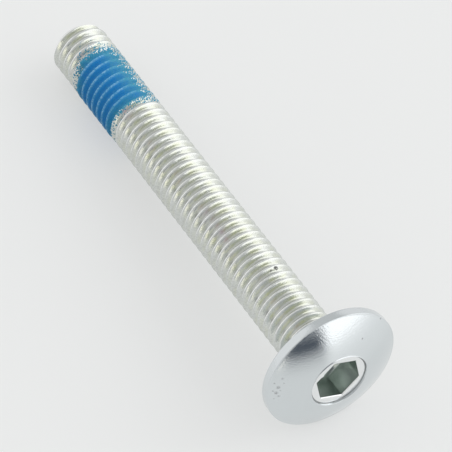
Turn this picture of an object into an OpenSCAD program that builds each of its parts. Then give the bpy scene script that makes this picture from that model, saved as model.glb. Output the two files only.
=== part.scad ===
// Round-head machine screw with a hexagon socket, fully threaded, with a dry locking patch near its point.
// It is drawn on its own axis with the bearing face at zero, and then laid down on its rim and its point.

/* [Thread] */
// Diameter over the thread crests
thread_d = 5.96; // [5.4:0.02:6.6]
// Distance from one crest to the next
pitch = 1.0; // [0.8:0.05:1.2]
// Length from the bearing face to the point
length = 49.5; // [30:0.5:70]
// Width of the flat on the crest
crest_w = 0.14; // [0.08:0.01:0.2]
// Width of the flat at the root
root_w = 0.22; // [0.12:0.01:0.3]
// Depth of the thread groove
thread_h = 0.55; // [0.4:0.01:0.6]

/* [Neck] */
// Diameter of the plain neck under the head
neck_d = 5.3; // [5.1:0.05:5.8]
// Length of the plain neck, from the bearing face
neck_len = 1.0; // [0.8:0.1:3]
// Radius in the corner between the neck and the bearing face
neck_fillet = 0.25; // [0.1:0.05:0.4]
// Length over which the thread rises to its full height
run_in = 0.6; // [0.4:0.1:2]

/* [Point] */
// Diameter of the flat end
point_d = 4.2; // [3.6:0.1:4.6]
// Length of the chamfer at the point
point_len = 1.0; // [0.6:0.1:1.6]

/* [Head] */
// Diameter over the rim
head_d = 13.9; // [11:0.1:16]
// Height of the straight rim
rim_h = 0.95; // [0.5:0.05:1.5]
// Rounding of the rim at the bearing face
rim_edge = 0.2; // [0.05:0.05:0.4]
// Rise of the dome above the rim, as if it had no recess
dome_rise = 2.0; // [1.6:0.1:3]

/* [Recess] */
// Diameter of the shallow round recess
recess_d = 6.0; // [5.2:0.1:7]
// Depth of the recess below its edge
recess_depth = 0.2; // [0.1:0.05:0.4]

/* [Socket] */
// Width of the key across its flats
key_af = 4.0; // [3:0.1:4.2]
// Play between the key and the socket, across the flats
key_play = 0.1; // [0.02:0.01:0.12]
// Depth of the straight walls below the recess
socket_depth = 2.6; // [1.4:0.1:2.8]
// Chamfer at the mouth
mouth_chamfer = 0.12; // [0.05:0.01:0.2]
// Slope of the cone at the bottom, from level
cone_slope = 30; // [15:1:35]
// Turn of the socket about the axis
socket_turn = 52.6; // [0:0.1:60]

/* [Locking patch] */
// Distance from the point to the patch
patch_start = 5; // [3:0.5:10]
// Length of the patch along the axis
patch_len = 8; // [4:0.5:14]
// Thickness of the coat, measured outward
patch_film = 0.06; // [0.03:0.01:0.1]
// Share of the way round that the patch covers, in degrees
patch_wrap = 252; // [90:18:342]
// Direction of the patch's middle about the axis
patch_side = 117; // [0:9:351]

/* [Hidden] */
// Straight sides in one turn of the thread
SIDES = 20;
// Sides from the start of the ridge's first row to the side that faces the surface
START_SIDES = 6;
// Rows of points in one pitch: root, root, crest, crest
ROWS = 4;
CURVE = 96;
// Length by which one solid reaches into the next
BITE = 0.3;
// Plain land between the thread's last row and the flat end, and the least step between two rows
END_LAND = 0.1;
STEP = 0.03;

crest_r = thread_d / 2;
root_r = crest_r - thread_h;
neck_r = neck_d / 2;
point_r = point_d / 2;
head_r = head_d / 2;
recess_r = recess_d / 2;
socket_af = key_af + key_play;
socket_r = socket_af / sqrt(3);
mouth_r = socket_r + 4 * mouth_chamfer / sqrt(3);
flank_w = (pitch - crest_w - root_w) / 2;

// The dome is part of a sphere that passes through the rim's front edge
dome_r = (head_r * head_r + dome_rise * dome_rise) / (2 * dome_rise);
dome_z = dome_r - rim_h - dome_rise;
recess_edge_z = dome_z - sqrt(dome_r * dome_r - recess_r * recess_r);
recess_z = recess_edge_z + recess_depth;
cone_h = socket_af / 2 * tan(cone_slope);

// The thread starts inside the neck, and the chamfer cuts it away before the flat end
start_z = neck_len - BITE;
root_end = point_len * (root_r - point_r) / (crest_r - point_r);
last_z = length - END_LAND;
turns = floor((last_z - start_z) / pitch) - 1;
first_z = last_z - (turns + 1) * pitch;
last_row = turns * ROWS;

// Rest: the rounded rim and the side under the last full crest both touch the surface
touch_col = START_SIDES + 1;
cut_turns = max(0, ceil((thread_z(last_row - 1, touch_col) - length + point_len) / pitch));
touch_row = last_row - 1 - ROWS * cut_turns;
touch_z = thread_z(touch_row, touch_col);
touch_r = thread_r(touch_row, touch_z) * cos(180 / SIDES);
reach_r = head_r - rim_edge - touch_r;
reach_z = touch_z + rim_edge;
rest_tilt = atan2(reach_r, reach_z) + asin(rim_edge / norm([reach_r, reach_z]));
axis_h = touch_z * sin(rest_tilt) + touch_r * cos(rest_tilt);
point_x = length * cos(rest_tilt) + point_r * sin(rest_tilt);
top_x = recess_edge_z * cos(rest_tilt) - recess_r * sin(rest_tilt);
mid_x = (point_x + top_x) / 2;

// Patch in steps of the thread's own grid, so that it lies on the same faces
patch_cols = round(patch_wrap / 360 * SIDES);
patch_col = round(patch_side / 360 * SIDES + START_SIDES + 0.5 - patch_cols / 2);
patch_rows = round(patch_len / pitch) * ROWS;
patch_row = last_row - round(patch_start / pitch) * ROWS - patch_rows + ROWS;

// Height of a thread point: row along the profile, column round the axis
function row_z(i) =
    let (k = (i % ROWS + ROWS) % ROWS)
    floor(i / ROWS) * pitch + [0, root_w, root_w + flank_w, root_w + flank_w + crest_w][k];
function thread_z(i, j) = first_z + row_z(i) + pitch * j / SIDES;

// Direction of a column: a flat side, not a corner, faces the surface
function col_a(j) = 360 * (j - START_SIDES - 0.5) / SIDES;

// The ridge rises over the run-in, and the chamfer at the point cuts it down
function rise(z) = max(0, min(1, (z - first_z - root_w - flank_w) / run_in));
function chamfer_r(z) = point_r + (crest_r - point_r) * max(0, length - z) / point_len;
function ridge_r(i) = (i % ROWS + ROWS) % ROWS < 2 ? root_r : crest_r;
function thread_r(i, z) = min(root_r + (ridge_r(i) - root_r) * rise(z), chamfer_r(z));

function thread_pt(i, j, out = 0) =
    let (z = thread_z(i, j), a = col_a(j), r = thread_r(i, z) + out)
    [r * cos(a), r * sin(a), z];

// Below the flat end, a groove keeps its root until the chamfer passes through it
function groove_z(j) = max(length - root_end, thread_z(last_row, j) + STEP);
function groove_pt(j) =
    let (z = groove_z(j), r = min(root_r, chamfer_r(z)))
    [r * cos(col_a(j)), r * sin(col_a(j)), z];
function ring_pts(r, z) = [for (j = [0 : SIDES - 1]) [r * cos(col_a(j)), r * sin(col_a(j)), z]];

// One ridge wound round a core: a helical grid closed by a flat ring at each end
module thread() {
    rows = last_row + 1;
    grid = [for (i = [0 : last_row]) for (j = [0 : SIDES - 1]) thread_pt(i, j)];
    low = rows * SIDES;
    mid = low + SIDES;
    high = mid + SIDES;
    points = concat(
        grid,
        ring_pts(root_r, start_z - BITE),
        [for (j = [0 : SIDES - 1]) groove_pt(j)],
        ring_pts(point_r, length)
    );
    at = function (i, j) j < SIDES ? i * SIDES + j : (i + ROWS) * SIDES;
    ring = function (base, j) base + j % SIDES;
    skin = [
        for (i = [0 : last_row - 1])
            for (j = [0 : SIDES - 1])
                if (j < SIDES - 1 || i + 1 + ROWS <= last_row)
                    each [
                        [at(i, j), at(i + 1, j), at(i + 1, j + 1)],
                        [at(i, j), at(i + 1, j + 1), at(i, j + 1)]
                    ]
    ];
    start = [
        for (j = [0 : SIDES - 1])
            each [
                [ring(low, j), at(0, j), ring(low, j + 1)],
                [at(0, j), at(0, (j + 1) % SIDES), ring(low, j + 1)]
            ]
    ];
    start_seam = [for (i = [0 : ROWS - 1]) [at(0, SIDES - 1), at(i + 1, 0), at(i, 0)]];
    stop = [
        for (j = [0 : SIDES - 1])
            each [
                [at(last_row, j), ring(mid, j), ring(mid, j + 1)],
                [at(last_row, j), ring(mid, j + 1), at(last_row, (j + 1) % SIDES)]
            ]
    ];
    stop_seam = [
        for (i = [0 : ROWS - 1])
            [at(last_row - i, SIDES - 1), at(last_row, 0), at(last_row - i - 1, SIDES - 1)]
    ];
    point = [
        for (j = [0 : SIDES - 1])
            each [
                [ring(mid, j), ring(high, j), ring(high, j + 1)],
                [ring(mid, j), ring(high, j + 1), ring(mid, j + 1)]
            ]
    ];
    caps = [
        [for (j = [0 : SIDES - 1]) low + j],
        [for (j = [SIDES - 1 : -1 : 0]) high + j]
    ];
    polyhedron(points, concat(skin, start, start_seam, stop, stop_seam, point, caps), convexity = 10);
}

// Half section of the head and neck, with the rim's rounding and the neck's fillet as true arcs
module head_section() {
    translate([0, -rim_h])
        square([head_r - rim_edge, rim_h]);
    translate([0, -rim_h])
        square([head_r, rim_h - rim_edge]);
    translate([head_r - rim_edge, -rim_edge])
        circle(rim_edge, $fn = CURVE);
    intersection() {
        translate([0, dome_z])
            circle(dome_r, $fn = CURVE);
        translate([0, -rim_h - dome_rise - 1])
            square([head_r, dome_rise + 1]);
    }
    square([neck_r, neck_len]);
    difference() {
        square([neck_r + neck_fillet, neck_fillet]);
        translate([neck_r + neck_fillet, neck_fillet])
            circle(neck_fillet, $fn = CURVE);
    }
}

module socket() {
    translate([0, 0, recess_z - dome_rise])
        cylinder(r = recess_r, h = dome_rise, $fn = CURVE);
    rotate([0, 0, socket_turn]) {
        translate([0, 0, recess_z - BITE])
            cylinder(r = socket_r, h = socket_depth + BITE, $fn = 6);
        translate([0, 0, recess_z - mouth_chamfer])
            cylinder(r1 = mouth_r, r2 = socket_r, h = 2 * mouth_chamfer, $fn = 6);
    }
    translate([0, 0, recess_z + socket_depth - BITE])
        cylinder(r = socket_af / 2, h = BITE, $fn = CURVE);
    translate([0, 0, recess_z + socket_depth])
        cylinder(r1 = socket_af / 2, r2 = 0, h = cone_h, $fn = CURVE);
}

// Lays the screw down along X with the origin on the surface, under the middle of its box
module laid_down() {
    translate([-mid_x, 0, axis_h])
        rotate([0, 90 + rest_tilt, 0])
            children();
}

module screw() {
    color([0.78, 0.8, 0.82])
        laid_down()
            difference() {
                union() {
                    rotate_extrude($fn = CURVE)
                        head_section();
                    thread();
                }
                socket();
            }
}

// Thin coat that follows the thread's own faces over part of the way round
module locking_patch() {
    cols = patch_cols + 1;
    count = (patch_rows + 1) * cols;
    inner = [
        for (i = [0 : patch_rows])
            for (j = [0 : patch_cols])
                thread_pt(patch_row + i, patch_col + j)
    ];
    outer = [
        for (i = [0 : patch_rows])
            for (j = [0 : patch_cols])
                thread_pt(patch_row + i, patch_col + j, patch_film)
    ];
    at = function (i, j) i * cols + j;
    sheet = [
        for (i = [0 : patch_rows - 1])
            for (j = [0 : patch_cols - 1])
                each [
                    [at(i, j), at(i + 1, j), at(i + 1, j + 1)],
                    [at(i, j), at(i + 1, j + 1), at(i, j + 1)]
                ]
    ];
    edge = concat(
        [for (j = [0 : patch_cols - 1]) at(0, j)],
        [for (i = [0 : patch_rows - 1]) at(i, patch_cols)],
        [for (j = [patch_cols : -1 : 1]) at(patch_rows, j)],
        [for (i = [patch_rows : -1 : 1]) at(i, 0)]
    );
    rim = [
        for (k = [0 : len(edge) - 1])
            let (a = edge[k], b = edge[(k + 1) % len(edge)])
            each [[a, a + count, b], [b, a + count, b + count]]
    ];
    top = [for (f = sheet) [f[0] + count, f[1] + count, f[2] + count]];
    bottom = [for (f = sheet) [f[2], f[1], f[0]]];
    color([0.05, 0.4, 0.7])
        laid_down()
            polyhedron(concat(inner, outer), concat(top, bottom, rim), convexity = 10);
}

screw();
locking_patch();
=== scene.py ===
"""Dresses the machine screw: plated steel body, blue locking patch, pale floor and soft studio light."""

import math

import bpy
import numpy as np
from mathutils import Matrix, Vector


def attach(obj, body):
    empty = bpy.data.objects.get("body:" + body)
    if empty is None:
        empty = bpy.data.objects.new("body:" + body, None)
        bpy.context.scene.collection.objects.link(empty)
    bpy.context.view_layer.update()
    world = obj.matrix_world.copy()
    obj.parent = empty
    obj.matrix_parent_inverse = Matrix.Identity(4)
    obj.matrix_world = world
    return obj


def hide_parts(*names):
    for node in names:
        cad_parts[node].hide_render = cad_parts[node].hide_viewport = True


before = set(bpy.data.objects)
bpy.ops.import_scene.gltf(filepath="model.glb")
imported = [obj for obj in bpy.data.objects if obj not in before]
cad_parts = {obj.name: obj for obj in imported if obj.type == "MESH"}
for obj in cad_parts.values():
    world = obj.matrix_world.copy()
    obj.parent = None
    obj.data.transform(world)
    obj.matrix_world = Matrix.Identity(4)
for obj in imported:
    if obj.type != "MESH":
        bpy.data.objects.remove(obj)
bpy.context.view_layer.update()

bl_info = {
    "name": "Machine screw dresser",
    "version": (1, 0, 0),
    "blender": (4, 5, 0),
    "location": "3D View > Sidebar > Screw",
    "description": "Builds the plated screw, its blue locking patch and a small studio round it",
    "category": "Object",
}

MM = 0.001
TAU = 2.0 * math.pi
SEED = 11

# Points round the axis, and rows of points in one pitch of the thread, closer together on the crest
COLUMNS = 120
ROW_SHARES = (0.03, 0.13, 0.23, 0.32, 0.4, 0.47, 0.52, 0.57, 0.62, 0.66, 0.685, 0.72, 0.8, 0.91)
ROWS = len(ROW_SHARES)
CREST_SHARE = 0.61
# Points round the coat and rows of points in one pitch of it
COAT_COLUMNS, COAT_ROWS = 190, 16
# Faces that meet at more than this many degrees have a sharp edge
SHARP_DEG = 40

# Rounding of the thread's root and of the crest's two edges, as shares of the flank
ROUND_ROOT = 0.2
ROUND_HEAD_SIDE, ROUND_POINT_SIDE = 0.16, 0.04
# Power that rounds the cone at the point
POINT_ROUND = 0.8
# Least gap between the neck and the thread's first row, and between its last row and the flat end
ROW_GAP, END_GAP = 0.1 * MM, 0.03 * MM

# Corners of the outline as steps in radius and height, in millimetres
RECESS_CORNER = ((-0.15, 0.0), (-0.09, 0.0), (-0.02, -0.02), (0.0, -0.07))
NECK_CORNER = ((0.0, -0.05), (-0.03, 0.0))
ROOT_CORNER = ((0.03, 0.02), (0.0, 0.06))
# Rounding of the recess's edge, and rings of points on the dome and on the bearing face
RECESS_LIP = 0.05 * MM
DOME_RINGS, FACE_RINGS = 30, 5
# Rings counted from the socket's bottom: where its walls, the recess floor with its painted highlight and
# the corner with its painted shade end
SOCKET_END, FLOOR_END, CORNER_SHADE_END = 9, 14, 16
# Last rings of the head, which have the shank's finish
NECK_RINGS = 6

# Slope of the socket's coned bottom, and direction and width of the burr at its mouth, in degrees
CONE_DEG = 30
BURR_TURN, BURR_WIDTH = 132.5, 3.4
BURR_HEIGHT = 0.15 * MM

# Painted shade in the root beside the next crest, as short dark marks: number of different turns, then
# first direction, spread and width in degrees
ROOT_SHADE_TURNS = 64
ROOT_SHADE_FROM, ROOT_SHADE_SPREAD, ROOT_SHADE_WIDTH = 121.0, 14.0, 6.0
# Their middle and width as shares of the pitch
ROOT_SHADE_MIDDLE, ROOT_SHADE_LENGTH = 0.55, 0.07
# Specks of dirt on the thread: turn in degrees, height and size in millimetres
SHANK_SPECKS = ((198.0, 10.64, 0.2), (200.8, 10.62, 0.21), (201.5, 10.58, 0.18), (187.5, 10.54, 0.13))
# Pits on the dome: turn in degrees, share of the way to the rim, size in millimetres, and depth of colour
DOME_PITS = (
    (109.3, 0.89, 0.14, 0.4),
    (105.4, 0.79, 0.26, 0.42),
    (100.6, 0.88, 0.15, 0.32),
    (98.6, 0.81, 0.25, 0.45),
    (116.1, 0.77, 0.17, 0.34),
    (111.2, 0.7, 0.12, 0.3),
    (94.6, 0.75, 0.21, 0.32),
    (102.0, 0.73, 0.12, 0.25),
    (91.2, 0.85, 0.13, 0.24),
    (-142.3, 0.45, 0.11, 0.9),
    (-126.2, 0.97, 0.12, 0.6),
)

# Weights of the distances from the coat's borders; the head-side one differs inside and outside the border
HIGH_WEIGHT, STOP_WEIGHT, START_WEIGHT = 1.3, 0.5, 0.8
LOW_WEIGHT_INSIDE, LOW_WEIGHT_OUTSIDE = 1.2, 2.5
# How far past its thin side, in radians, a direction counts as lying before the coat's start
COAT_WRAP = 1.4
# How far the point-side border bends back, and where that starts and its reach, in degrees
BORDER_BEND = 0.9 * MM
BEND_FROM, BEND_REACH = 150, 50
# Margins of the sheet past the coat's borders: two in radians round the axis, two along it
START_MARGIN, STOP_MARGIN = 0.3, 0.55
LOW_MARGIN, HIGH_MARGIN = 1.9 * MM, 1.3 * MM
# Depth of the sheet's inner side in the steel, and covers at which the film and its colour are full
SHEET_DEPTH = 0.12 * MM
FULL_FILM, FULL_COLOUR = 0.35, 1.4
# Least and most of the distance into the coat that the steel keeps for its blue specks, in millimetres
STAIN_LEAST, STAIN_MOST = -9.0, 3.0

# Height of the fine relief on steel and coat
RELIEF = 0.02 * MM
# Half the floor's side in metres
FLOOR_HALF = 1.6
# The lamp: its place, the place it faces, its two sides in metres and its power in watts
KEY_PLACE, KEY_AIM = (-0.15, -0.55, 0.45), (0.0, 0.0, 0.005)
KEY_SIDES, KEY_POWER = (0.45, 0.45), 1.0
# Light of the room, the wall that the camera sees, and the room's parts: middle, half width and soft
# edge of the turn in degrees, the same of the rise, and the light
ROOM_LIGHT = (0.64, 0.65, 0.65)
SEEN_WALL = (0.83, 0.835, 0.83)
ROOM_PARTS = {
    "pale wall": ((-135.0, 32.0, 15.0), (22.0, 26.0, 12.0), (0.93, 0.93, 0.93)),
    "dark screen": ((-5.0, 13.0, 7.0), (-4.0, 9.0, 20.0), (0.055, 0.07, 0.095)),
    "pale strip": ((-27.5, 4.0, 3.0), (0.0, 9.0, 8.0), (1.4, 1.36, 1.24)),
    "far window": ((105.0, 32.0, 8.0), (6.0, 22.0, 8.0), (0.88, 0.88, 0.88)),
    "window": ((53.5, 39.5, 5.0), (9.0, 26.0, 8.0), (1.43, 1.43, 1.43)),
}
# The photo's camera: focal length and frame in pixels, sensor in millimetres, place and axes in the frame
FOCAL_PX, FRAME_PX = 3869.8, 452.0
SENSOR_MM = 36.0
FAR_CLIP = 10.0
CAMERA_PLACE = (-0.201018, 0.113141, 0.304053)
CAMERA_RIGHT = (-0.499233, -0.866468, 0.0)
CAMERA_UP = (0.688975, -0.396968, 0.606405)
CAMERA_BACK = (-0.525433, 0.302737, 0.795156)


def length_prop(label, words, value_mm):
    """A length in metres, shown in the scene's unit, from a value in millimetres."""
    return bpy.props.FloatProperty(
        name=label,
        description=words,
        default=value_mm * MM,
        min=0.0,
        precision=5,
        subtype="DISTANCE",
        unit="LENGTH",
    )


def angle_prop(label, words, value_deg):
    """An angle in radians, shown in degrees, from a value in degrees."""
    return bpy.props.FloatProperty(
        name=label, description=words, default=math.radians(value_deg), subtype="ANGLE"
    )


def colour_prop(label, words, value):
    """A linear colour without alpha."""
    return bpy.props.FloatVectorProperty(
        name=label, description=words, default=value, min=0.0, max=1.0, size=3, subtype="COLOR"
    )


class SCREW_PG_sizes(bpy.types.PropertyGroup):
    """Sizes of the steel body: the solid's own, apart from the thread's depth and start and the socket's
    width and chamfer, which follow the photo."""

    thread_d: length_prop("Thread diameter", "Diameter over the crests", 5.96)
    pitch: length_prop("Pitch", "Distance from one crest to the next", 1.0)
    length: length_prop("Length", "From the bearing face to the point", 49.5)
    crest_w: length_prop("Crest width", "Width of the flat on the crest", 0.14)
    root_w: length_prop("Root width", "Width of the flat at the root", 0.22)
    thread_h: length_prop("Thread depth", "Depth of the plated groove", 0.52)
    phase: length_prop("Thread start", "Height of a crest above the bearing face on the underside", 2.275)
    run_in: length_prop("Run-in", "Length over which the thread rises", 0.6)
    thread_from: length_prop("Thread from", "Height where the ridge starts to rise", 1.94)
    neck_d: length_prop("Neck diameter", "Diameter of the plain neck", 5.3)
    neck_len: length_prop("Neck length", "Length of the plain neck", 1.0)
    neck_fillet: length_prop("Neck fillet", "Radius in the corner under the head", 0.25)
    point_d: length_prop("Point diameter", "Diameter of the flat end", 4.2)
    point_len: length_prop("Point length", "Length of the chamfer at the point", 1.0)
    head_d: length_prop("Head diameter", "Diameter over the rim", 13.9)
    rim_h: length_prop("Rim height", "Height of the straight rim", 0.95)
    rim_edge: length_prop("Rim rounding", "Rounding of the rim at the bearing face", 0.2)
    front_edge: length_prop("Front rounding", "Rounding between the rim and the dome", 0.05)
    dome_rise: length_prop("Dome rise", "Rise of the dome above the rim", 2.0)
    recess_d: length_prop("Recess diameter", "Diameter of the shallow round recess", 6.0)
    recess_depth: length_prop("Recess depth", "Depth of the recess", 0.2)
    socket_af: length_prop("Socket width", "Width of the socket across its flats", 4.26)
    socket_depth: length_prop("Socket depth", "Depth of the straight walls", 2.6)
    mouth_chamfer: length_prop("Mouth chamfer", "Chamfer at the socket's mouth", 0.07)
    socket_turn: angle_prop("Socket turn", "Turn of the hexagon about the axis", 52.6)
    rest_tilt: angle_prop("Rest tilt", "Dip of the axis towards the point", 4.710828)
    axis_x: bpy.props.FloatProperty(
        name="Bearing face X",
        description="Place of the bearing face's middle",
        default=-23.33323 * MM,
        precision=5,
        unit="LENGTH",
    )
    axis_z: length_prop("Bearing face Z", "Height of the bearing face's middle", 6.91077)


class SCREW_PG_patch(bpy.types.PropertyGroup):
    """Sizes of the blue coat on the thread."""

    low: length_prop("Head side", "Height of the border nearest the head", 36.75)
    high: length_prop("Point side", "Height of the border nearest the point", 44.65)
    film: length_prop("Film", "Thickness of the coat on the crests", 0.045)
    fill: length_prop("Fill", "Extra thickness of the coat in the grooves", 0.05)
    start: angle_prop("Start", "Direction where the coat starts", -12)
    stop: angle_prop("Stop", "Direction where the coat thins out", 222)


class SCREW_PG_finish(bpy.types.PropertyGroup):
    """Colours of the finishes and of the stage."""

    zinc: colour_prop("Zinc", "Colour of the plating", (0.7, 0.735, 0.75))
    shank: colour_prop("Shank", "Colour of the plating on the shank", (0.72, 0.74, 0.725))
    bloom_green: colour_prop("Green bloom", "Faint green and yellow film on the flanks", (0.7, 0.725, 0.53))
    bloom_rose: colour_prop("Rosy bloom", "Faint rosy film on the flanks", (0.68, 0.55, 0.6))
    # Crest: painted highlight on the thread's crests and on the recess floor
    crest: colour_prop("Crest", "Colour of the burnished crests and of the recess", (0.92, 0.93, 0.93))
    # Root: painted shade in the thread's roots, and the colour of the darker speckles on the shank
    root: colour_prop("Root", "Colour of the film in the roots and on the dull sides", (0.58, 0.595, 0.57))
    # Socket: painted shade inside the socket, with a greenish tint
    socket: colour_prop("Socket", "Colour of the film in the socket", (0.53, 0.58, 0.55))
    pit: colour_prop("Pit", "Colour inside pits and specks", (0.1, 0.1, 0.095))
    blue: colour_prop("Blue coat", "Colour of the thick coat", (0.005, 0.24, 0.61))
    # Blue crest: paler coat on the crests, partly thinner coat and partly painted highlight
    blue_crest_and_highlight: colour_prop("Blue crest", "Colour of the coat on the crests", (0.24, 0.54, 0.8))
    blue_thin: colour_prop("Thin coat", "Colour where the coat is thin", (0.05, 0.33, 0.5))
    floor: colour_prop("Floor", "Colour of the floor", (0.825, 0.832, 0.828))


def laid_down(sizes, points):
    """Carries points from the screw's own axes to the place where it lies: local Z runs from the bearing
    face to the point and dips by the rest tilt, local X points down and local Y sideways."""
    t = sizes.rest_tilt
    turn = np.array(
        [[-math.sin(t), 0.0, math.cos(t)], [0.0, 1.0, 0.0], [-math.cos(t), 0.0, -math.sin(t)]]
    )
    return points @ turn.T + np.array([sizes.axis_x, 0.0, sizes.axis_z])


def ring(angle, radius, height):
    """Points on a circle or other outline: radius along each angle, at one height or one height each."""
    radius = np.broadcast_to(radius, angle.shape)
    height = np.broadcast_to(height, angle.shape)
    return np.stack([radius * np.cos(angle), radius * np.sin(angle), height], axis=-1)


def arc(centre_r, centre_z, radius, start, stop, count):
    """Profile points (radius, height) on a circular arc from one angle to another, in degrees."""
    a = np.radians(np.linspace(start, stop, count))
    return np.stack([centre_r + radius * np.cos(a), centre_z + radius * np.sin(a)], axis=-1)


def corner_points(steps_mm, radius, height):
    """Profile points (radius, height) at small steps from a place."""
    return np.array(steps_mm) * MM + (radius, height)


def bell(x, middle, width):
    """A bell curve: e to the power of minus the square of the distance from the middle over the width."""
    return np.exp(-(((x - middle) / width) ** 2))


def soft_clamp(x, foot, top):
    """Zero below 0, one above 1 and straight between, with the lower and the upper corner rounded by
    hyperbolas."""
    return 0.5 * (np.sqrt(x * x + foot * foot) - np.sqrt((x - 1.0) ** 2 + top * top) + 1.0)


def ridge_share(sizes, angle, height):
    """Share of the ridge's height at a place: a wave along the helix, height minus pitch times the turn,
    that is one on the crest, zero in the root and straight on the flanks. The crest is sharper towards
    the point."""
    u = (height - sizes.phase) / sizes.pitch - angle / TAU
    u = (u + 0.5) % 1.0 - 0.5
    root = 0.5 - 0.5 * sizes.root_w / sizes.pitch
    flank = root - 0.5 * sizes.crest_w / sizes.pitch
    top = np.where(u > 0.0, ROUND_POINT_SIDE, ROUND_HEAD_SIDE)
    least = soft_clamp((root - 0.5) / flank, ROUND_ROOT, top)
    most = soft_clamp(root / flank, ROUND_ROOT, top)
    return (soft_clamp((root - np.abs(u)) / flank, ROUND_ROOT, top) - least) / (most - least)


def thread_radius(sizes, angle, height):
    """Radius of the threaded shank: the root plus the ridge, which rises over the run-in, never above the
    rounded cone at the point."""
    crest, point_r = 0.5 * sizes.thread_d, 0.5 * sizes.point_d
    root = crest - sizes.thread_h
    rise = np.clip((height - sizes.thread_from) / sizes.run_in, 0.0, 1.0)
    r = root + sizes.thread_h * ridge_share(sizes, angle, height) * rise
    left = np.clip((sizes.length - height) / sizes.point_len, 0.0, None)
    cone = point_r + (crest - point_r) * np.minimum(left, 1.0) ** POINT_ROUND
    return np.minimum(r, cone + np.maximum(left - 1.0, 0.0))


def dome_radius(sizes):
    """Radius of the dome's ball: the rim's radius squared plus the rise squared, over twice the rise."""
    head_r = 0.5 * sizes.head_d
    return (head_r**2 + sizes.dome_rise**2) / (2.0 * sizes.dome_rise)


def dome_height(sizes, rho):
    """Height of the dome at a distance from the axis: the ball's middle minus the root of its radius
    squared minus that distance squared."""
    dome_r = dome_radius(sizes)
    return dome_r - sizes.rim_h - sizes.dome_rise - np.sqrt(dome_r**2 - rho**2)


def head_profile(sizes):
    """Outline of the head and neck from the recess floor to the start of the thread, as (radius, height):
    recess corner, dome, rim, bearing face, fillet and neck, with each edge as a small arc. Returns it
    with the height of the recess floor."""
    head_r, recess_r = 0.5 * sizes.head_d, 0.5 * sizes.recess_d
    neck_r, fillet = 0.5 * sizes.neck_d, sizes.neck_fillet
    root_r = 0.5 * sizes.thread_d - sizes.thread_h
    front, back = sizes.front_edge, sizes.rim_edge
    edge_z = dome_height(sizes, recess_r)
    floor_z = edge_z + sizes.recess_depth
    slope = math.degrees(math.asin(head_r / dome_radius(sizes)))
    rho = np.linspace(recess_r + 1.4 * RECESS_LIP, head_r - 0.8 * front, DOME_RINGS)
    face = np.linspace(head_r - back - 0.1 * MM, neck_r + fillet + 0.05 * MM, FACE_RINGS)
    parts = [
        corner_points(RECESS_CORNER, recess_r, floor_z),
        arc(recess_r + RECESS_LIP, edge_z + 0.6 * RECESS_LIP, RECESS_LIP, 180, 258, 4),
        np.stack([rho, dome_height(sizes, rho)], axis=-1),
        arc(head_r - front, -sizes.rim_h + 0.4 * front, front, -90 + slope, 0, 4),
        np.array([[head_r, -0.5 * (sizes.rim_h + back)]]),
        arc(head_r - back, -back, back, 0, 90, 6),
        np.stack([face, np.zeros(FACE_RINGS)], axis=-1),
        arc(neck_r + fillet, fillet, fillet, -90, -180, 5),
        corner_points(NECK_CORNER, neck_r, sizes.neck_len),
        corner_points(ROOT_CORNER, root_r, sizes.neck_len),
    ]
    return np.concatenate(parts), floor_z


def cone_depth(sizes):
    """Depth of the socket's coned bottom: half its width times the tangent of the slope."""
    return 0.5 * sizes.socket_af * math.tan(math.radians(CONE_DEG))


def socket_rings(sizes, angle, floor_z):
    """Rings of the socket from its coned bottom to the recess floor: circles on the cone, and hexagons
    whose radius is half the width over the cosine of the angle from the nearest flat. A small burr, a
    bell curve over the angle, leans in at the mouth."""
    half, chamfer = 0.5 * sizes.socket_af, sizes.mouth_chamfer
    flat = (angle - sizes.socket_turn) % (TAU / 6) - TAU / 12
    hexagon = half / np.cos(flat)
    away = (angle - math.radians(BURR_TURN) + math.pi) % TAU - math.pi
    burr = BURR_HEIGHT * bell(away, 0.0, math.radians(BURR_WIDTH))
    deep = floor_z + sizes.socket_depth
    cone = cone_depth(sizes)
    mouth = hexagon * (1.0 + 1.1 * chamfer / half)
    return [
        ring(angle, 0.3 * half, deep + 0.7 * cone),
        ring(angle, 0.65 * half, deep + 0.35 * cone),
        ring(angle, 0.97 * half, deep + 0.03 * cone),
        ring(angle, hexagon * 0.985, deep),
        ring(angle, hexagon, deep - 0.04 * MM),
        ring(angle, hexagon, floor_z + 0.7 * sizes.socket_depth),
        ring(angle, hexagon, floor_z + 0.3 * sizes.socket_depth),
        ring(angle, hexagon - 0.6 * burr, floor_z + chamfer + 0.1 * MM),
        ring(angle, hexagon - burr, floor_z + chamfer),
        ring(angle, hexagon * (1.0 + 0.2 * chamfer / half) - 1.1 * burr, floor_z + 0.75 * chamfer),
        ring(angle, hexagon * (1.0 + 0.9 * chamfer / half) - 0.8 * burr, floor_z + 0.1 * chamfer),
        ring(angle, mouth - 0.5 * burr, floor_z),
        ring(angle, 0.5 * mouth + 0.25 * sizes.recess_d, floor_z),
    ]


def quad_faces(a, b, c, d):
    """Two triangles for each four-cornered face, from the vertex numbers of its corners in order."""
    return np.concatenate([np.stack(corners, axis=-1).reshape(-1, 3) for corners in ((a, b, c), (a, c, d))])


def strip_faces(low, high):
    """Triangles between two rings of equal count, given as vertex numbers round the axis."""
    return quad_faces(low, np.roll(low, -1), np.roll(high, -1), high)


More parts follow.
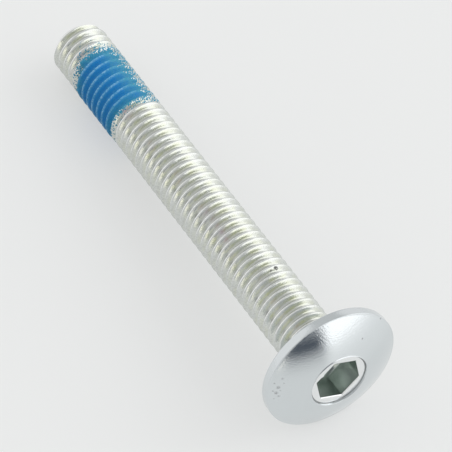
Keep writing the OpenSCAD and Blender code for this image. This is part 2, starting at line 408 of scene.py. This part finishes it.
def mesh_object(name, points, faces, material, values):
    """A smooth mesh from whole arrays, with sharp edges where faces meet steeply, and with named values
    that hold one number for each point."""
    mesh = bpy.data.meshes.new(name)
    mesh.vertices.add(len(points))
    mesh.vertices.foreach_set("co", np.asarray(points, dtype=np.float32).ravel())
    mesh.loops.add(3 * len(faces))
    mesh.loops.foreach_set("vertex_index", np.asarray(faces, dtype=np.int32).ravel())
    mesh.polygons.add(len(faces))
    mesh.polygons.foreach_set("loop_start", np.arange(0, 3 * len(faces), 3, dtype=np.int32))
    mesh.polygons.foreach_set("use_smooth", np.ones(len(faces), dtype=bool))
    mesh.update(calc_edges=True)
    if mesh.validate():
        raise RuntimeError(f"{name}: the mesh had faulty faces")
    for key, numbers in values.items():
        layer = mesh.attributes.new(key, "FLOAT", "POINT")
        layer.data.foreach_set("value", np.asarray(numbers, dtype=np.float32))
    mesh.set_sharp_from_angle(angle=math.radians(SHARP_DEG))
    mesh.materials.append(material)
    piece = bpy.data.objects.new(name, mesh)
    bpy.context.scene.collection.objects.link(piece)
    return piece


def shank_sides(around):
    """How the plating and its painted light differ round the shank, as bell curves and ramps over the
    direction in
    degrees: painted highlights on the crests of the upper side, strength of the thin film, which is partly
    painted reflection, its rosy part, also partly painted reflection, and darker speckles, stronger on the
    sides as painted shade."""
    left = np.clip((118.0 - around) / 14.0, 0.0, 1.0)
    right = np.clip((around - 215.0) / 15.0, 0.0, 1.0)
    film = 0.4 + 0.5 * bell(around, 184.0, 20.0) + 0.4 * bell(around, 130.0, 9.0)
    return {
        # painted highlight on the crests of the side that faces the light
        "crest_highlight": np.clip(2.6 - np.abs(around - 155.0) / 20.0, 0.0, 1.0),
        # strength of the film round the shank: partly real film, partly painted reflection
        "film_and_reflection": film + 0.4 * bell(around, 152.0, 11.0),
        # rosy part of the film, strongest on one side: partly real film, partly painted reflection
        "rosy": bell(around, 152.0, 12.0),
        # darker speckles everywhere on the thread, stronger towards its two sides as painted shade
        "skin": 1.0 + 1.6 * left + 0.8 * right,
    }


def root_shade_marks(sizes, angle, height):
    """Short dark marks of painted shade in the root, in a line along one side of the shank: a bell curve
    round the axis and one along it, with a random place and depth for each turn."""
    along = (height - sizes.phase) / sizes.pitch - angle / TAU
    turn = np.floor(along).astype(int) % ROOT_SHADE_TURNS
    place, deep = np.random.default_rng(SEED).random((2, ROOT_SHADE_TURNS))
    away = np.degrees((angle % TAU) - math.radians(ROOT_SHADE_FROM)) - ROOT_SHADE_SPREAD * place[turn]
    across = (along % 1.0 - ROOT_SHADE_MIDDLE) / ROOT_SHADE_LENGTH
    return np.exp(-((away / ROOT_SHADE_WIDTH) ** 2) - across**2) * (0.3 + 0.7 * deep[turn])


def thread_rows(sizes, angle):
    """Directions and heights of the thread's points: each row climbs one pitch a turn, and each pitch has
    one row for every share of it."""
    p = sizes.pitch
    start_z = sizes.neck_len + ROW_GAP
    lead = (sizes.phase - start_z) / p + sizes.socket_turn / TAU - CREST_SHARE
    low = start_z + p * (lead - math.floor(lead))
    rows = int((sizes.length - END_GAP - p - low) / p * ROWS)
    i = np.arange(rows + 1)
    base = low + p * (i // ROWS + np.array(ROW_SHARES)[i % ROWS])
    height = base[:, None] + p * np.arange(COLUMNS)[None, :] / COLUMNS
    return np.broadcast_to(angle, height.shape), height


def body_faces(head_count, row_count, end_count):
    """Triangles of the whole skin, and the vertex numbers of the thread's rows: a fan in the socket,
    strips between rings, the thread's grid, whose rows join themselves one turn up, and a fan on the flat
    end."""
    n = COLUMNS
    first = 1 + np.arange(n)
    grid = 1 + head_count * n + np.arange(row_count * n).reshape(row_count, n)
    last = grid[-1, -1] + 1 + np.arange(end_count * n).reshape(end_count, n)
    pole = last[-1, -1] + 1
    faces = [np.stack([np.zeros(n, dtype=int), np.roll(first, -1), first], axis=-1)]
    faces += [strip_faces(first + k * n, first + (k + 1) * n) for k in range(head_count - 1)]
    faces.append(strip_faces(first + (head_count - 1) * n, grid[0]))
    seam = grid[: ROWS + 1, 0]
    faces.append(np.stack([np.full(ROWS, grid[0, -1]), seam[:-1], seam[1:]], axis=-1))
    faces.append(quad_faces(grid[:-1, :-1], grid[:-1, 1:], grid[1:, 1:], grid[1:, :-1]))
    before, after = grid[:-ROWS, -1], grid[ROWS:, 0]
    faces.append(quad_faces(before[:-1], after[:-1], after[1:], before[1:]))
    seam = grid[-ROWS - 1 :, -1]
    faces.append(np.stack([np.full(ROWS, grid[-1, 0]), seam[1:], seam[:-1]], axis=-1))
    faces.append(strip_faces(grid[-1], last[0]))
    faces += [strip_faces(last[k], last[k + 1]) for k in range(end_count - 1)]
    faces.append(np.stack([last[-1], np.roll(last[-1], -1), np.full(n, pole)], axis=-1))
    return np.concatenate(faces), grid.ravel()


def body_mesh(sizes, patch):
    """The whole screw as one closed skin: socket, head and neck as rings round the axis, the thread as
    climbing rows, and the flat point. Returns points, faces and, for each point, the share of the groove,
    whether it is on the shank, in the socket, on the recess floor, where a highlight is painted, or in its
    corner, where shade is painted, the marks of painted shade in the root, the distance into the coat, and
    how the plating and its painted light differ round the shank."""
    angle = sizes.socket_turn + TAU * np.arange(COLUMNS) / COLUMNS
    profile, floor_z = head_profile(sizes)
    tip = np.array([[0.0, 0.0, floor_z + sizes.socket_depth + cone_depth(sizes)]])
    head = socket_rings(sizes, angle, floor_z) + [ring(angle, r, z) for r, z in profile]
    a, z = thread_rows(sizes, angle)
    r = thread_radius(sizes, a, z)
    thread = np.stack([r * np.cos(a), r * np.sin(a), z], axis=-1).reshape(-1, 3)
    point_r = 0.5 * sizes.point_d
    end = [ring(angle, r, sizes.length) for r in (point_r - 0.02 * MM, 0.6 * point_r, 0.25 * point_r)]
    points = np.concatenate([tip, *head, thread, *end, [[0.0, 0.0, sizes.length]]])
    faces, on_thread = body_faces(len(head), len(z), len(end))

    def spread(where, numbers, rest=0.0):
        """One number for each point of the skin: given numbers at some points, and the rest elsewhere."""
        out = np.full(len(points), rest)
        out[where] = numbers
        return out

    def head_rings(start, stop):
        """The points from one of the head's rings up to another."""
        return slice(1 + start * COLUMNS, 1 + stop * COLUMNS)

    stain = np.clip(patch_inside(sizes, patch, a % TAU, z), STAIN_LEAST, STAIN_MOST)
    values = {
        "groove": spread(on_thread, 1.0 - ridge_share(sizes, a, z).ravel()),
        "shank": spread(slice(1 + (len(head) - NECK_RINGS) * COLUMNS, -1), 1.0),
        # the socket, whose colour is painted shade with a greenish tint
        "socket": spread(slice(0, 1 + SOCKET_END * COLUMNS), 1.0),
        # painted shade in the corner of the recess
        "corner_shade": spread(head_rings(FLOOR_END, CORNER_SHADE_END), 1.0),
        # painted highlight on the recess floor
        "flat": spread(head_rings(SOCKET_END, FLOOR_END), 0.8),
        # marks of painted shade in the root
        "root_shade": spread(on_thread, root_shade_marks(sizes, a, z).ravel()),
        "stain": spread(on_thread, stain.ravel(), STAIN_LEAST),
    }
    for key, numbers in shank_sides(np.degrees(a % TAU).ravel()).items():
        values[key] = spread(on_thread, numbers)
    return points, faces, values


def lattice_noise(x, y, seed):
    """Smooth noise from 0 to 1 on a plane: random numbers on whole-number places, blended by a smooth
    step."""
    size = 64
    table = np.random.default_rng(seed).random((size, size))
    ix, iy = np.floor(x).astype(int), np.floor(y).astype(int)
    fx, fy = x - ix, y - iy
    fx, fy = fx * fx * (3.0 - 2.0 * fx), fy * fy * (3.0 - 2.0 * fy)
    ix, iy, jx, jy = ix % size, iy % size, (ix + 1) % size, (iy + 1) % size
    low = table[ix, iy] * (1.0 - fx) + table[jx, iy] * fx
    high = table[ix, jy] * (1.0 - fx) + table[jx, jy] * fx
    return low * (1.0 - fy) + high * fy


def patch_inside(sizes, patch, angle, height):
    """Distance in millimetres inside the coat's borders, below zero outside: the least of the weighted
    distances from the two ends along the axis and from the two sides round it, where the side that thins
    out counts less."""
    angle = np.where(angle > patch.stop + COAT_WRAP, angle - TAU, angle)
    bend = BORDER_BEND * np.clip((math.radians(BEND_FROM) - angle) / math.radians(BEND_REACH), 0.0, 1.0)
    from_high = (patch.high - bend - height) / MM * HIGH_WEIGHT
    from_low = (height - patch.low) / MM
    from_low = np.where(from_low < 0.0, LOW_WEIGHT_OUTSIDE, LOW_WEIGHT_INSIDE) * from_low
    crest_r = 0.5 * sizes.thread_d / MM
    from_stop = (patch.stop - angle) * crest_r * STOP_WEIGHT
    from_start = (angle - patch.start) * crest_r * START_WEIGHT
    return np.minimum(np.minimum(from_high, from_low), np.minimum(from_stop, from_start))


def patch_cover(sizes, patch, angle, height):
    """How well the coat covers a place, above zero where it does: the distance inside its borders with
    coarse and fine noise, less on the crests of the side that thins out."""
    x, y = angle * 0.5 * sizes.thread_d / MM, height / MM
    fine = lattice_noise(x * 5.0, y * 5.0, SEED) - 0.5
    coarse = lattice_noise(x * 1.6, y * 1.3, SEED + 1) - 0.5
    thin = np.clip((angle - patch.stop + math.radians(45)) / math.radians(40), 0.0, 1.0)
    bare = thin * np.clip(ridge_share(sizes, angle, height) - 0.55, 0.0, 0.4)
    return patch_inside(sizes, patch, angle, height) + 0.4 * fine + 0.6 * coarse - 3.0 * bare


def patch_mesh(sizes, patch):
    """The coat as a closed sheet on the thread: its outer side is the thread's radius plus the film where
    the cover is above zero and lies just under the steel elsewhere, and its inner side lies inside the
    steel. Returns points, faces and, for each point, the share of the full thickness and of the
    groove."""
    angle = np.linspace(patch.start - START_MARGIN, patch.stop + STOP_MARGIN, COAT_COLUMNS)
    low, high = patch.low - LOW_MARGIN, patch.high + HIGH_MARGIN
    rows = int((high - low) / sizes.pitch * COAT_ROWS)
    a = np.broadcast_to(angle, (rows, COAT_COLUMNS))
    z = np.linspace(low, high, rows)[:, None] + sizes.pitch * ((a - angle.mean()) / TAU)
    steel = thread_radius(sizes, a, z)
    cover = patch_cover(sizes, patch, a, z)
    share = np.clip(cover / FULL_COLOUR, 0.0, 1.0)
    groove = 1.0 - ridge_share(sizes, a, z)
    film = (patch.film + patch.fill * groove**2) * np.clip(cover / FULL_FILM, -0.6, 1.0)
    sides = [
        np.stack([r * np.cos(a), r * np.sin(a), z], axis=-1).reshape(-1, 3)
        for r in (steel + film, steel - SHEET_DEPTH)
    ]
    m = rows * COAT_COLUMNS
    grid = np.arange(m).reshape(rows, COAT_COLUMNS)
    sheet = quad_faces(grid[:-1, :-1], grid[:-1, 1:], grid[1:, 1:], grid[1:, :-1])
    edge = np.concatenate([grid[0, :-1], grid[:-1, -1], grid[-1, :0:-1], grid[:0:-1, 0]])
    after = np.roll(edge, -1)
    rim = [np.stack([edge, edge + m, after], -1), np.stack([after, edge + m, after + m], -1)]
    faces = np.concatenate([sheet, sheet[:, ::-1] + m, *rim])
    values = {"thickness": np.tile(share.ravel(), 2), "groove": np.tile(groove.ravel(), 2)}
    return np.concatenate(sides), faces, values


def dome_place(sizes, turn_deg, share):
    """A place on the dome: the direction about the axis in degrees, and the share of the way from the
    recess to the rim."""
    head_r, recess_r = 0.5 * sizes.head_d, 0.5 * sizes.recess_d
    a, rho = math.radians(turn_deg), recess_r + (head_r - recess_r) * share
    local = np.array([rho * math.cos(a), rho * math.sin(a), dome_height(sizes, rho)])
    return tuple(laid_down(sizes, local))


def shank_place(sizes, turn_deg, height_mm):
    """A place on the thread: the direction about the axis in degrees, and the height above the bearing
    face in millimetres."""
    a, z = math.radians(turn_deg), height_mm * MM
    r = float(thread_radius(sizes, np.array([a]), np.array([z]))[0])
    return tuple(laid_down(sizes, np.array([r * math.cos(a), r * math.sin(a), z])))


def new_material(name):
    """An empty node material with its Principled shader."""
    material = bpy.data.materials.new(name)
    material.use_nodes = True
    return material, material.node_tree, material.node_tree.nodes["Principled BSDF"]


def math_node(tree, kind, *sides):
    """A Math node; each side is a number or a socket."""
    node = tree.nodes.new("ShaderNodeMath")
    node.operation = kind
    for side, socket in zip(sides, node.inputs):
        if isinstance(side, bpy.types.NodeSocket):
            tree.links.new(side, socket)
        else:
            socket.default_value = side
    return node.outputs[0]


def times(tree, first, second):
    """The product of two values."""
    return math_node(tree, "MULTIPLY", first, second)


def largest(tree, sockets):
    """The largest of several values."""
    total = sockets[0]
    for socket in sockets[1:]:
        total = math_node(tree, "MAXIMUM", total, socket)
    return total


def map_range(tree, source, low, high, to_low, to_high):
    """A Map Range node that turns one range of a value into another."""
    node = tree.nodes.new("ShaderNodeMapRange")
    node.inputs["From Min"].default_value = low
    node.inputs["From Max"].default_value = high
    node.inputs["To Min"].default_value = to_low
    node.inputs["To Max"].default_value = to_high
    tree.links.new(source, node.inputs["Value"])
    return node.outputs["Result"]


def mix_colour(tree, share, first, second):
    """A colour mix; each side is a colour or a socket."""
    node = tree.nodes.new("ShaderNodeMix")
    node.data_type = "RGBA"
    tree.links.new(share, node.inputs["Factor"])
    for side, socket in ((first, node.inputs[6]), (second, node.inputs[7])):
        if isinstance(side, bpy.types.NodeSocket):
            tree.links.new(side, socket)
        else:
            socket.default_value = (*side, 1.0)
    return node.outputs[2]


def read_number(tree, name):
    """The number that a mesh keeps for each point."""
    node = tree.nodes.new("ShaderNodeAttribute")
    node.attribute_name = name
    return node.outputs["Fac"]


def add_bump(tree, shader, strength, height):
    """Gives a shader a fine relief from a height."""
    node = tree.nodes.new("ShaderNodeBump")
    node.inputs["Strength"].default_value = strength
    node.inputs["Distance"].default_value = RELIEF
    tree.links.new(height, node.inputs["Height"])
    tree.links.new(node.outputs["Normal"], shader.inputs["Normal"])


def grain_group():
    """Node group for fine grain: a fine and a broad noise, put out as they are, and as a height that is
    the fine one plus a part of the broad one."""
    group = bpy.data.node_groups.new("fine_grain", "ShaderNodeTree")
    face = group.interface
    face.new_socket("Vector", in_out="INPUT", socket_type="NodeSocketVector")
    for name in ("Fine Scale", "Broad Scale"):
        face.new_socket(name, in_out="INPUT", socket_type="NodeSocketFloat")
    for name in ("Height", "Broad", "Fine"):
        face.new_socket(name, in_out="OUTPUT", socket_type="NodeSocketFloat")
    enter, leave = group.nodes.new("NodeGroupInput"), group.nodes.new("NodeGroupOutput")
    noise = {}
    for name, detail in (("Fine", 3.0), ("Broad", 4.0)):
        node = group.nodes.new("ShaderNodeTexNoise")
        node.inputs["Detail"].default_value = detail
        group.links.new(enter.outputs["Vector"], node.inputs["Vector"])
        group.links.new(enter.outputs[f"{name} Scale"], node.inputs["Scale"])
        noise[name] = node.outputs["Fac"]
        group.links.new(noise[name], leave.inputs[name])
    height = math_node(group, "MULTIPLY_ADD", noise["Broad"], 0.35, noise["Fine"])
    group.links.new(height, leave.inputs["Height"])
    return group


def grain_node(tree, fine, broad):
    """Places the grain group in a material, fed by Object coordinates. Returns it with the coordinates."""
    node = tree.nodes.new("ShaderNodeGroup")
    node.node_tree = bpy.data.node_groups.get("fine_grain") or grain_group()
    node.inputs["Fine Scale"].default_value = fine
    node.inputs["Broad Scale"].default_value = broad
    where = tree.nodes.new("ShaderNodeTexCoord").outputs["Object"]
    tree.links.new(where, node.inputs["Vector"])
    return node, where


def near_spot(tree, where, place, radius, depth):
    """The depth of a pit inside a small ball round a place, falling to zero at its edge."""
    node = tree.nodes.new("ShaderNodeVectorMath")
    node.operation = "DISTANCE"
    tree.links.new(where, node.inputs[0])
    node.inputs[1].default_value = place
    return map_range(tree, node.outputs["Value"], (0.8 * depth - 0.25) * radius, radius, depth, 0.0)


def plate_colour(tree, finish, grain, speck, shank):
    """Colour of the plating: plain on the head, and on the shank with a patchy green and rosy film whose
    strength round the shank is partly painted reflection, darker speckles that are stronger on the sides as
    painted shade, painted highlights on the crests of the upper side and painted shade in the roots."""
    groove = read_number(tree, "groove")
    # rosy part of the film: partly real film, partly painted reflection
    rosy = map_range(tree, grain.outputs["Broad"], 0.4, 0.56, 0.0, 1.0)
    rosy = times(tree, rosy, read_number(tree, "rosy"))
    film = mix_colour(tree, rosy, finish.bloom_green, finish.bloom_rose)
    # film strength: noise times the share set round the shank, which is partly painted reflection
    patchy = map_range(tree, speck.outputs["Broad"], 0.4, 0.6, 0.2, 1.0)
    patchy = times(tree, patchy, read_number(tree, "film_and_reflection"))
    filmed = times(tree, map_range(tree, groove, 0.1, 0.5, 0.3, 1.0), patchy)
    # darker speckles, stronger towards the shank's sides as painted shade
    skin = map_range(tree, speck.outputs["Fine"], 0.36, 0.54, 0.3, 0.0)
    skin = times(tree, skin, read_number(tree, "skin"))
    # painted highlight on the crests, strongest on the side that faces the light, broken by noise
    pale_crest_share = map_range(tree, speck.outputs["Fine"], 0.36, 0.52, 0.45, 1.0)
    pale_crest_share = times(tree, pale_crest_share, read_number(tree, "crest_highlight"))
    crest = times(tree, map_range(tree, groove, 0.0, 0.12, 1.0, 0.0), pale_crest_share)
    # painted shade in the roots of the thread
    root = times(tree, map_range(tree, groove, 0.75, 1.0, 0.0, 0.8), shank)
    colour = mix_colour(tree, shank, finish.zinc, finish.shank)
    for share, over in ((filmed, film), (skin, finish.root), (crest, finish.crest), (root, finish.root)):
        colour = mix_colour(tree, share, colour, over)
    return colour


def dark_spots(tree, grain, speck, where, specks):
    """How dark a place is: painted shade in the recess's corner and in the root, and ragged pits and
    specks.
    """
    # painted shade in the recess's corner, broken by noise
    corner_shade = map_range(tree, read_number(tree, "corner_shade"), 0.2, 0.9, 0.0, 0.85)
    corner_shade = times(tree, map_range(tree, grain.outputs["Fine"], 0.38, 0.55, 0.45, 1.0), corner_shade)
    # marks of painted shade in the root
    root_shade = map_range(tree, read_number(tree, "root_shade"), 0.0, 1.0, 0.0, 0.8)
    pits = largest(tree, [near_spot(tree, where, *pit) for pit in specks])
    ragged = map_range(tree, speck.outputs["Fine"], 0.38, 0.5, 0.4, 1.0)
    return largest(tree, [corner_shade, root_shade, times(tree, pits, ragged)])


def blue_specks(tree, speck):
    """Where specks of the coat lie on the steel: the fine noise above a level that falls towards the coat's
    borders, and that it never reaches far from them."""
    stain = read_number(tree, "stain")
    near = map_range(tree, stain, -2.0, 0.4, 0.68, 0.4)
    far = map_range(tree, stain, -3.0, -2.2, 1.0, 0.4)
    above = math_node(tree, "SUBTRACT", speck.outputs["Fine"], largest(tree, [near, far]))
    return map_range(tree, above, -0.02, 0.03, 0.0, 1.0)


def zinc_material(finish, specks):
    """Bright zinc plating: smooth on the head and duller on the shank, with painted shade inside the socket
    in a greenish tint, a painted highlight on the recess floor, dark pits and specks at given places, and
    blue specks of the coat near its borders."""
    material, tree, shader = new_material("zinc_plate")
    grain, where = grain_node(tree, 9000.0, 240.0)
    speck, _ = grain_node(tree, 6000.0, 900.0)
    shank, inside = read_number(tree, "shank"), read_number(tree, "socket")
    spot = dark_spots(tree, grain, speck, where, specks)
    blue = blue_specks(tree, speck)
    colour = plate_colour(tree, finish, grain, speck, shank)
    for share, over in (
        # painted shade inside the socket, with a greenish tint
        (inside, finish.socket),
        # painted highlight on the recess floor, in the crest colour
        (read_number(tree, "flat"), finish.crest),
        (spot, finish.pit),
        (blue, finish.blue_thin),
    ):
        colour = mix_colour(tree, share, colour, over)
    tree.links.new(colour, shader.inputs["Base Color"])
    covered = largest(tree, [blue, spot])
    tree.links.new(map_range(tree, covered, 0.0, 1.0, 1.0, 0.0), shader.inputs["Metallic"])
    rough = map_range(tree, grain.outputs["Broad"], 0.3, 0.7, 0.09, 0.15)
    for share, extra in ((shank, 0.05), (inside, 0.1), (covered, 0.3)):
        rough = math_node(tree, "MULTIPLY_ADD", share, extra, rough)
    tree.links.new(rough, shader.inputs["Roughness"])
    relief = math_node(tree, "MULTIPLY_ADD", grain.outputs["Fine"], 0.5, speck.outputs["Fine"])
    add_bump(tree, shader, 0.5, math_node(tree, "MULTIPLY_ADD", spot, -0.1, relief))
    return material


def coat_material(finish):
    """Blue dry coat: deep blue where it is thick, paler on the crests, where the coat is thinner and a
    highlight is painted, and greener where it is thin, with a fine uneven sheen."""
    material, tree, shader = new_material("blue_coat")
    grain, _ = grain_node(tree, 5200.0, 900.0)
    # paler crests: partly thinner coat, partly painted highlight
    pale_crest_share = map_range(tree, read_number(tree, "groove"), 0.03, 0.3, 1.0, 0.0)
    pale_crest_share = times(tree, pale_crest_share, map_range(tree, grain.outputs["Fine"], 0.4, 0.6, 0.25, 1.0))
    blue = mix_colour(tree, pale_crest_share, finish.blue, finish.blue_crest_and_highlight)
    cover = map_range(tree, read_number(tree, "thickness"), 0.1, 0.9, 0.0, 1.0)
    cover = times(tree, cover, map_range(tree, grain.outputs["Fine"], 0.38, 0.58, 0.7, 1.0))
    tree.links.new(mix_colour(tree, cover, finish.blue_thin, blue), shader.inputs["Base Color"])
    rough = map_range(tree, grain.outputs["Broad"], 0.3, 0.7, 0.32, 0.5)
    tree.links.new(rough, shader.inputs["Roughness"])
    shader.inputs["Specular IOR Level"].default_value = 0.35
    add_bump(tree, shader, 0.2, grain.outputs["Height"])
    return material


def paper_material(pale):
    """Pale floor: part of its brightness is a glow that only the camera, gloss and glass see, so that
    shadows stay faint. The glow gives way to gloss at low angles, by the Fresnel share."""
    material, tree, shader = new_material("floor_paper")
    grain, _ = grain_node(tree, 2500.0, 30.0)
    shade = map_range(tree, grain.outputs["Broad"], 0.3, 0.7, 0.0, 1.0)
    tree.links.new(mix_colour(tree, shade, 0.5 * pale, 0.49 * pale), shader.inputs["Base Color"])
    path = tree.nodes.new("ShaderNodeLightPath")
    rough = map_range(tree, path.outputs["Is Camera Ray"], 0.0, 1.0, 0.07, 0.4)
    tree.links.new(rough, shader.inputs["Roughness"])
    rays = [path.outputs[f"Is {kind} Ray"] for kind in ("Camera", "Glossy", "Transmission")]
    gloss = tree.nodes.new("ShaderNodeFresnel")
    glow = map_range(tree, gloss.outputs[0], 0.04, 1.0, 0.56, 0.0)
    shader.inputs["Emission Color"].default_value = (*pale, 1.0)
    tree.links.new(times(tree, largest(tree, rays), glow), shader.inputs["Emission Strength"])
    return material


def floor_piece(finish):
    """A wide square floor under the screw."""
    s = FLOOR_HALF
    mesh = bpy.data.meshes.new("floor")
    mesh.from_pydata([(-s, -s, 0), (s, -s, 0), (s, s, 0), (-s, s, 0)], [], [(0, 1, 2, 3)])
    mesh.materials.append(paper_material(np.array(finish.floor)))
    floor = bpy.data.objects.new("floor", mesh)
    bpy.context.scene.collection.objects.link(floor)
    return floor


def key_lamp():
    """A soft square lamp that lights the floor and the coat, and that reflections don't show."""
    data = bpy.data.lights.new("key", "AREA")
    data.shape = "RECTANGLE"
    data.size, data.size_y = KEY_SIDES
    data.energy = KEY_POWER
    lamp = bpy.data.objects.new("key", data)
    lamp.location = KEY_PLACE
    lamp.rotation_mode = "QUATERNION"
    lamp.rotation_quaternion = (Vector(KEY_PLACE) - Vector(KEY_AIM)).to_track_quat("Z", "Y")
    lamp.visible_camera = False
    lamp.visible_glossy = False
    bpy.context.scene.collection.objects.link(lamp)


def window(tree, angle, middle, half, soft):
    """One where an angle lies within half a width of a middle, in degrees, falling to zero over a soft
    edge."""
    away = math_node(tree, "ABSOLUTE", math_node(tree, "SUBTRACT", angle, math.radians(middle)))
    return map_range(tree, away, math.radians(half), math.radians(half + soft), 1.0, 0.0)


def studio_world():
    """The room: pale all round, with two bright windows on one side, a pale wall across from them, and a
    dark screen and a narrow pale strip at the front, set by the direction's rise and its turn from the
    head's side. The camera sees an even pale wall instead."""
    world = bpy.data.worlds.new("studio")
    world.use_nodes = True
    tree = world.node_tree
    where = tree.nodes.new("ShaderNodeTexCoord")
    split = tree.nodes.new("ShaderNodeSeparateXYZ")
    tree.links.new(where.outputs["Generated"], split.inputs[0])
    sideways, forward = (times(tree, split.outputs[axis], -1.0) for axis in ("Y", "X"))
    turn = math_node(tree, "ARCTAN2", sideways, forward)
    rise = math_node(tree, "ARCSINE", split.outputs["Z"])
    light = ROOM_LIGHT
    for turns, rises, colour in ROOM_PARTS.values():
        share = times(tree, window(tree, turn, *turns), window(tree, rise, *rises))
        light = mix_colour(tree, share, light, colour)
    path = tree.nodes.new("ShaderNodeLightPath")
    seen = mix_colour(tree, path.outputs["Is Camera Ray"], light, SEEN_WALL)
    tree.links.new(seen, tree.nodes["Background"].inputs["Color"])
    return world


def photo_camera():
    """The camera at the photo's viewing angle, from its place and axes."""
    data = bpy.data.cameras.new("camera")
    data.sensor_width = SENSOR_MM
    data.lens = SENSOR_MM * FOCAL_PX / FRAME_PX
    data.clip_end = FAR_CLIP
    camera = bpy.data.objects.new("camera", data)
    rows = list(zip(CAMERA_RIGHT, CAMERA_UP, CAMERA_BACK, CAMERA_PLACE))
    camera.matrix_world = Matrix(rows + [(0.0, 0.0, 0.0, 1.0)])
    bpy.context.scene.collection.objects.link(camera)
    return camera


class SCREW_OT_body(bpy.types.Operator):
    """Builds the plated steel body in place of the solid"""

    bl_idname = "screw.body"
    bl_label = "Screw body"

    def execute(self, context):
        sizes, finish = context.scene.screw_sizes, context.scene.screw_finish
        points, faces, values = body_mesh(sizes, context.scene.screw_patch)
        specks = [(shank_place(sizes, turn, height), size * MM, 1.0) for turn, height, size in SHANK_SPECKS]
        specks += [
            (dome_place(sizes, turn, share), size * MM, deep) for turn, share, size, deep in DOME_PITS
        ]
        material = zinc_material(finish, specks)
        piece = mesh_object("screw_body", laid_down(sizes, points), faces, material, values)
        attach(piece, "root")
        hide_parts("screw")
        return {"FINISHED"}


class SCREW_OT_patch(bpy.types.Operator):
    """Builds the blue locking patch on the thread"""

    bl_idname = "screw.patch"
    bl_label = "Locking patch"

    def execute(self, context):
        scene = context.scene
        points, faces, values = patch_mesh(scene.screw_sizes, scene.screw_patch)
        material = coat_material(scene.screw_finish)
        piece = mesh_object("blue_patch", laid_down(scene.screw_sizes, points), faces, material, values)
        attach(piece, "root")
        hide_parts("locking_patch")
        return {"FINISHED"}


class SCREW_OT_stage(bpy.types.Operator):
    """Sets up the pale floor, the room, the lamp and the camera"""

    bl_idname = "screw.stage"
    bl_label = "Stage"

    def execute(self, context):
        scene = context.scene
        floor = floor_piece(scene.screw_finish)
        scene.world = studio_world()
        key_lamp()
        scene.camera = photo_camera()
        scene.view_settings.view_transform = "Standard"
        return {"FINISHED"}


class SCREW_PT_panel(bpy.types.Panel):
    """Lists the steps and the sizes"""

    bl_idname = "SCREW_PT_panel"
    bl_label = "Screw"
    bl_space_type = "VIEW_3D"
    bl_region_type = "UI"
    bl_category = "Screw"

    def draw(self, context):
        for step in STEPS:
            self.layout.operator(step.bl_idname)
        for group in (context.scene.screw_sizes, context.scene.screw_patch, context.scene.screw_finish):
            for key in group.__annotations__:
                self.layout.prop(group, key)


STEPS = (SCREW_OT_body, SCREW_OT_patch, SCREW_OT_stage)
GROUPS = {"screw_sizes": SCREW_PG_sizes, "screw_patch": SCREW_PG_patch, "screw_finish": SCREW_PG_finish}


def register():
    """Registers the classes and gives the scene its groups of values."""
    for cls in (*GROUPS.values(), *STEPS, SCREW_PT_panel):
        bpy.utils.register_class(cls)
    for key, cls in GROUPS.items():
        setattr(bpy.types.Scene, key, bpy.props.PointerProperty(type=cls))


def unregister():
    """Takes away what register made."""
    for key in GROUPS:
        delattr(bpy.types.Scene, key)
    for cls in (SCREW_PT_panel, *reversed(STEPS), *reversed(tuple(GROUPS.values()))):
        bpy.utils.unregister_class(cls)


def main():
    """Runs the steps."""
    register()
    bpy.ops.screw.body()
    bpy.ops.screw.patch()
    bpy.ops.screw.stage()


if __name__ == "__main__":
    main()
